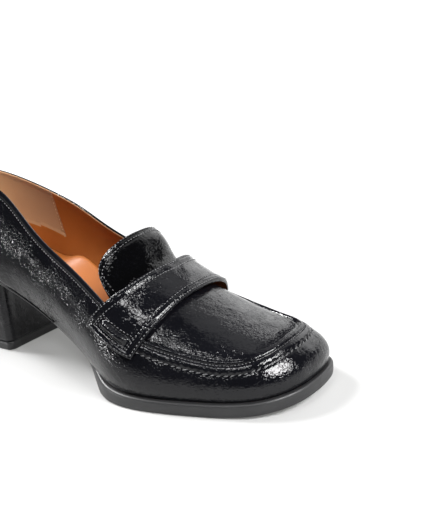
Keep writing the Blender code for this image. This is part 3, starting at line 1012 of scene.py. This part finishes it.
def makeHeel():
    # rings from the foot up to the sole, with a small round at the foot and the back leaning out
    foot = heelLook["topPiece"] + soleLook["gap"]
    rings = []
    for way in [0.0, 0.006, 0.02, 0.05] + list(np.linspace(0.1, 1, 24)):
        edge = heelLook["edge"] * (1 - min(way / 0.02, 1)) ** 2
        half = heelFootHalf() + heelLook["taper"] * way
        back = heelLook["back"] + (heelLook["seatInset"] - heelLook["back"]) * way ** 1.5
        rings.append(heelRing(
            half - edge, back + edge, heelLook["breast"] - edge,
            lambda x, way=way: foot + (soleBottom(x) - soleLook["gap"] - foot) * way,
        ))
    grids = heelGrids(rings, lambda x, y: foot + 0 * x, lambda x, y: soleBottom(x) - soleLook["gap"])
    addPiece("heelBlock", grids, [patent], "heel")


def makeTopPiece():
    # rings with a bevel at the floor and a slight round under the block
    inset = heelLook["topBevel"]
    high = heelLook["topPiece"]
    rows = [(inset, 0), (inset * 0.3, inset * 0.3), (0, inset), (0, 0.004), (0.0002, 0.0053), (0.0005, high)]
    rings = [
        heelRing(
            heelFootHalf() - cut, heelLook["back"] + cut, heelLook["breast"] - cut,
            lambda x, level=level: level + 0 * x,
        )
        for cut, level in rows
    ]
    grids = heelGrids(rings, lambda x, y: 0 * x, lambda x, y: high + 0 * x)
    addPiece("heelTopPiece", grids, [topRubber], "heel_top_piece")


makeOutsole()
makeInsole()
makeHeel()
makeTopPiece()
print("sole and heel made")

# Stitches: pitch, share of it that one thread covers, thread's radius, lean in radians
stitchLook = {
    "plain": (0.0020, 0.62, 0.00030, 0.0),
    "fine": (0.0018, 0.62, 0.00028, 0.0),
    "seam": (upperLook["seamPitch"], 0.74, 0.00036, 0.30),
    "window": (0.0020, 0.62, 0.00028, 0.0),
    "grip": (0.0022, 0.60, 0.00026, 0.0),
    "sink": 0.25,              # how far the thread's middle stands out, as a share of its radius
    "unevenPlace": 0.08,
    "unevenLean": 0.15,
    "unevenLength": (0.75, 1.1),
    "apronFrom": 0.64,         # shares of length
    "collarTo": 0.60,
}


def stitchRow(path, kind, finish, name):
    # one thread for each pitch: an ellipsoid of 7 rings of 6 points, laid along the path and turned by its lean
    line, normal = path
    pitch, share, radius, lean = stitchLook[kind]
    run = np.concatenate([[0], np.cumsum(np.linalg.norm(np.diff(line, axis=0), axis=1))])
    count = max(int(run[-1] / pitch), 1)
    chance = np.random.default_rng(count)
    uneven = stitchLook["unevenPlace"]
    place = (np.arange(count) + 0.5 + chance.uniform(-uneven, uneven, count)) * run[-1] / count

    def at(where, rows):
        return np.stack([np.interp(where, run, rows[:, axis]) for axis in range(3)], 1)

    centre = at(place, line)
    up = at(place, normal)
    up /= np.linalg.norm(up, axis=1, keepdims=True)
    along = at(place + 0.0003, line) - at(place - 0.0003, line)
    along -= up * (along * up).sum(1, keepdims=True)
    along /= np.linalg.norm(along, axis=1, keepdims=True) + 1e-12
    uneven = stitchLook["unevenLean"]
    leans = (lean + chance.uniform(-uneven, uneven, count))[:, None]
    along = along * np.cos(leans) + np.cross(up, along) * np.sin(leans)
    cross = np.cross(up, along)
    half = pitch * share / 2 * chance.uniform(*stitchLook["unevenLength"], count)
    rings = np.linspace(0, np.pi, 7)[:, None]
    turns = np.linspace(0, 2 * np.pi, 7)[:-1]
    ahead = -np.cos(rings) * np.ones(6) * half[:, None, None]
    aside = np.sin(rings) * np.cos(turns) * radius
    above = (np.sin(rings) * np.sin(turns) + stitchLook["sink"]) * radius
    points = centre[:, None, None] + along[:, None, None] * ahead[..., None]
    points = points + cross[:, None, None] * aside[..., None] + up[:, None, None] * above[..., None]
    index = np.arange(42).reshape(7, 6)
    after = np.roll(index, -1, 1)
    quads = np.stack([index[:-1], after[:-1], after[1:], index[1:]], -1).reshape(-1, 4)
    faces = (quads[None] + 42 * np.arange(count)[:, None, None]).reshape(-1, 4)
    finishPiece(name, points.reshape(-1, 3), faces, np.zeros(len(faces)), [finish], 0.000002)


def bandPath(side, down, first, final, extra=0.0):
    # path on the quarters at a distance below the collar or crease, with its normals
    x = np.linspace(first, final, 700) * last["length"]
    ways, arc, edge, run = bandRows(x, side)
    up = edge - down
    lift = bandLift(edge - up, ridgeBlend(x), run) + extra
    place = rowInterp(up, arc, ways)
    spot = skin(x[:, None], side, place, lift)[:, 0]
    return spot, skin(x[:, None], side, place, lift + 0.001)[:, 0] - spot


def toePath(down):
    # around the toe: along the outer side to the tip, and back along the inner side
    outer, inner = (bandPath(side, down, stitchLook["apronFrom"], 1.0) for side in (-1.0, 1.0))
    return [np.concatenate([one, other[::-1]]) for one, other in zip(outer, inner)]


def collarPath():
    # along the outer side to the back seam, and forward along the inner side
    down = upperLook["collarSeam"]
    outer, inner = (bandPath(side, down, 0.0, stitchLook["collarTo"], 0.0001) for side in (-1.0, 1.0))
    return [np.concatenate([one[::-1], other]) for one, other in zip(outer, inner)]


def surfacePath(spot, first, second, height):
    # path over a sheet: spot takes both parameters and a height
    points = spot(first, second, height)
    return points, spot(first, second, height + 0.001) - points


def gripRow(side, name):
    # tan row beside the front edge of the suede, on the lining
    share = np.linspace(0.95, 0.30, 120)
    x = (gripEdge(share) - upperLook["gripRow"]) * last["length"]
    ways, arc, edge, run = bandRows(x, side)
    place = rowInterp(share[:, None] * edge, arc, ways)
    wall = np.full_like(place, upperLook["wall"])
    spot = skin(x[:, None], side, place, 0.0002 - wall)[:, 0]
    inward = skin(x[:, None], side, place, -0.001 - wall)[:, 0]
    stitchRow((spot, inward - spot), "grip", tanThread, name)


def strapRow(gap, name):
    # stitches at a distance from the strap's edge, on both long edges
    along = np.linspace(-0.985, 0.985, 500)
    wide = np.linalg.norm(strapSpot(along, np.ones(500), 0) - strapSpot(along, np.zeros(500), 0), axis=1)
    for tag, width in (("Back", gap / wide), ("Front", 1 - gap / wide)):
        path = surfacePath(strapSpot, along, width, strapLook["thickness"] - 0.00005)
        stitchRow(path, "plain", blackThread, name + tag)


def strapPanel(sign, name):
    # a row along the strap's end, and a row around its window
    fromEnd = np.full(200, strapLook["endRow"])
    path = surfacePath(strapSpot, sign * (1 - fromEnd), np.linspace(0.05, 0.95, 200), strapLook["thickness"])
    stitchRow(path, "plain", blackThread, name + "End")
    low, high, back, front = (place + out for place, out in zip(strapLook["window"], strapLook["windowRow"]))
    corners = np.array([(low, back), (low, front), (high, front), (high, back), (low, back)])
    around = np.concatenate([np.linspace(one, other, 100) for one, other in zip(corners[:-1], corners[1:])])
    path = surfacePath(strapSpot, sign * (1 - around[:, 0]), around[:, 1], strapLook["thickness"] - 0.00015)
    stitchRow(path, "window", blackThread, name + "Window")


def tongueSize(first, second):
    # straight distance between two places on the tongue, each way and turn
    spots = [tongueSpot(np.array([float(way)]), np.array([float(turn)]), 0) for way, turn in (first, second)]
    return np.linalg.norm(spots[0] - spots[1])


def tongueRow(gap, name):
    # around the tongue's free edge: up one side, over the top and down the other
    high = 1 - gap / (2 * tongueSize((1, 0), (0.5, 0)))
    wide = 1 - gap / (0.5 * tongueSize((0.8, 1), (0.8, -1))) * 0.86
    way = np.concatenate([np.linspace(0.45, high, 150), np.full(300, high), np.linspace(high, 0.45, 150)])
    turn = np.concatenate([np.full(150, -wide), np.linspace(-wide, wide, 300), np.full(150, wide)])
    path = surfacePath(tongueSpot, way, turn, 0.00002)
    stitchRow(path, "plain", blackThread, name)


stitchRow(toePath(upperLook["innerSeam"]), "fine", blackThread, "apronFineStitches")
stitchRow(toePath(upperLook["outerSeam"]), "seam", blackThread, "apronSeamStitches")
stitchRow(collarPath(), "plain", blackThread, "collarStitches")
gripRow(1.0, "gripStitchesInner")
gripRow(-1.0, "gripStitchesOuter")
for gap, name in zip(strapLook["stitches"], ("strapEdgeStitches", "strapInnerStitches")):
    strapRow(gap, name)
strapPanel(-1.0, "strapOuter")
strapPanel(1.0, "strapInner")
for gap, name in zip(tongueLook["stitches"], ("tongueStitchesA", "tongueStitchesB")):
    tongueRow(gap, name)
print("stitches made")

# Floor and backdrop: a round floor inside a low pale wall, which is higher behind the shoe. The floor is shaded
# left of its corner and in front of it, and brighter far behind; fades are distances in metres
stageLook = {
    "floor": (0.34, 0.34, 0.34),
    "floorShade": (0.06, 0.06, 0.06),
    "glow": (0.17, 0.17, 0.165),
    "glowShade": (0.05, 0.05, 0.05),
    "glowFar": (1.0, 1.0, 1.0),
    "wallGlow": 1.02,
    "roughness": 0.9,
    "centre": 0.12,
    "radius": 3.2,
    "wall": (0.35, 0.35),      # mean height, and how much higher it is behind
    "corner": (0.017, -0.029),
    "turn": 139.2,
    "leftFade": (-0.15, -0.02),
    "frontFade": (-1.2, -0.45),
    "farFade": (0.08, 0.80),
}


def floorFinish():
    # pale where the camera looks, shaded to the left of the shoe and behind the camera
    look = stageLook
    finish = Finish("pale floor")
    place = finish.place()
    x = finish.node("ShaderNodeSeparateXYZ", {}, {0: place}, 0) - look["corner"][0]
    y = finish.node("ShaderNodeSeparateXYZ", {}, {0: place}, 1) - look["corner"][1]
    turn = math.radians(look["turn"])
    left = finish.remap(x * math.sin(turn) - y * math.cos(turn), *look["leftFade"], 0, 1)
    back = x * math.cos(turn) + y * math.sin(turn)
    pale = left * finish.remap(back, *look["frontFade"], 0, 1)
    far = finish.remap(back, *look["farFade"], 0, 1)
    finish.set({
        "Base Color": finish.mix(pale, look["floorShade"], look["floor"]),
        "Emission Color": finish.mix(pale, look["glowShade"], finish.mix(far, look["glow"], look["glowFar"])),
        "Emission Strength": 1.0,
        "Roughness": look["roughness"],
    })
    return finish.material


def wallFinish():
    # one pale colour that glows evenly
    finish = Finish("pale wall")
    finish.set({
        "Base Color": (*stageLook["floor"], 1),
        "Emission Color": (1, 1, 1, 1),
        "Emission Strength": stageLook["wallGlow"],
        "Roughness": stageLook["roughness"],
    })
    return finish.material


def makeStage():
    # rings of points: radius and height, with the wall's top a cosine of the direction
    turn = np.linspace(0, 2 * np.pi, 97)
    behind = math.radians(cameraLook["azimuth"] + 90)
    top = stageLook["wall"][0] + stageLook["wall"][1] * np.cos(turn - behind)
    for name, radii, heights, finish in (
        ("floor", np.linspace(0.0, stageLook["radius"], 9), lambda way: 0 * turn, floorFinish()),
        ("backdrop", np.full(3, stageLook["radius"]), lambda way: top * way, wallFinish()),
    ):
        grid = np.stack([
            np.stack([stageLook["centre"] + radius * np.cos(turn), radius * np.sin(turn), heights(way)], -1)
            for radius, way in zip(radii, np.linspace(0, 1, len(radii)))
        ])
        mesh = bpy.data.meshes.new(name)
        mesh.from_pydata(grid.reshape(-1, 3), [], gridQuads(*grid.shape[:2]).tolist())
        mesh.materials.append(finish)
        piece = bpy.data.objects.new(name, mesh)
        bpy.context.scene.collection.objects.link(piece)


# Camera: angles in degrees, distances in metres, focal length in pixels of a picture that is high pixels high
cameraLook = {
    "azimuth": 36.2,
    "elevation": 17.7,
    "roll": -4.6,
    "distance": 0.4433,
    "focal": 803.3,
    "high": 516,
    "sensor": 36,
    "target": (0.123, 0.0, 0.030),
    "slide": (0.0300, 0.0326),     # right and up, for the picture's off-centre crop
}


def cameraAxes():
    # the picture's right, up and backward directions
    azimuth, elevation, roll = (math.radians(cameraLook[part]) for part in ("azimuth", "elevation", "roll"))
    level = math.cos(elevation)
    right = np.array([math.cos(azimuth), math.sin(azimuth), 0])
    back = np.array([math.sin(azimuth) * level, -math.cos(azimuth) * level, math.sin(elevation)])
    up = np.cross(back, right)
    return (
        right * math.cos(roll) + up * math.sin(roll),
        up * math.cos(roll) - right * math.sin(roll),
        back,
    )


def stand(thing, right, up, back, place):
    # puts a camera or lamp in the scene at a place, looking against back
    matrix = np.eye(4)
    matrix[:3] = np.stack([right, up, back, place], 1)
    thing.matrix_world = Matrix(matrix.tolist())
    bpy.context.scene.collection.objects.link(thing)


def makeCamera():
    # stands back from its target, slid along the picture's own axes
    right, up, back = cameraAxes()
    place = np.array(cameraLook["target"]) + right * cameraLook["slide"][0] + up * cameraLook["slide"][1]
    data = bpy.data.cameras.new("camera")
    data.sensor_width = cameraLook["sensor"]
    data.lens = cameraLook["focal"] * cameraLook["sensor"] / cameraLook["high"]
    data.clip_start = 0.01
    camera = bpy.data.objects.new("camera", data)
    stand(camera, right, up, back, place + back * cameraLook["distance"])
    bpy.context.scene.camera = camera


# Lights: direction seen from the centre (azimuth from +X toward +Y, elevation), then for the sun its width in
# degrees and its strength, and for a lamp its distance, size and radiance
lightLook = {
    "world": 0.07,
    "centre": (0.12, 0.0, 0.04),
    "sun": (-175, 46, 18, 5.4),
    "lamps": [
        ("toe", -7, 41, 1.3, (0.66, 0.46), 34.0),
        ("strap", -77, 55, 1.3, (0.34, 0.24), 19.0),
        ("quarter", -131, -1, 0.47, (0.044, 0.034), 100.0),
        ("behind", 86, 28, 2.2, (2.0, 1.1), 2.6),
        ("above", 84, 62, 2.2, (1.6, 1.2), 0.75),
    ],
    "shaded": {"toe": "freeTongue"},
}


def aim(thing, azimuth, elevation, distance):
    # turns a lamp toward the shoe and puts it at a distance
    azimuth, elevation = math.radians(azimuth), math.radians(elevation)
    level = math.cos(elevation)
    back = np.array([math.cos(azimuth) * level, math.sin(azimuth) * level, math.sin(elevation)])
    right = np.array([-math.sin(azimuth), math.cos(azimuth), 0])
    stand(thing, right, np.cross(back, right), back, np.array(lightLook["centre"]) + back * distance)


def shadeFrom(lamp, pieceName):
    # keeps a lamp off one piece, as a card held between them would
    shaded = bpy.data.collections.new("shaded from " + lamp.name)
    shaded.objects.link(bpy.data.objects[pieceName])
    lamp.light_linking.receiver_collection = shaded
    shaded.collection_objects[0].light_linking.link_state = "EXCLUDE"


def makeLights():
    # a dim world, a broad sun that casts the shadow, and softboxes that only show as reflections and light
    world = bpy.data.worlds.new("studio")
    world.use_nodes = True
    background = world.node_tree.nodes["Background"]
    background.inputs["Color"].default_value = (1, 1, 1, 1)
    background.inputs["Strength"].default_value = lightLook["world"]
    bpy.context.scene.world = world
    bpy.context.scene.view_settings.view_transform = "Standard"
    azimuth, elevation, width, strength = lightLook["sun"]
    sun = bpy.data.lights.new("main", "SUN")
    sun.angle = math.radians(width)
    sun.energy = strength
    aim(bpy.data.objects.new("main", sun), azimuth, elevation, 2.0)
    for name, azimuth, elevation, distance, size, radiance in lightLook["lamps"]:
        data = bpy.data.lights.new(name, "AREA")
        data.shape = "RECTANGLE"
        data.size, data.size_y = size
        data.energy = radiance * size[0] * size[1] * math.pi
        lamp = bpy.data.objects.new(name, data)
        lamp.visible_camera = False
        aim(lamp, azimuth, elevation, distance)
        if name in lightLook["shaded"]:
            shadeFrom(lamp, lightLook["shaded"][name])


makeStage()
makeCamera()
makeLights()
print("stage, camera and lights made")
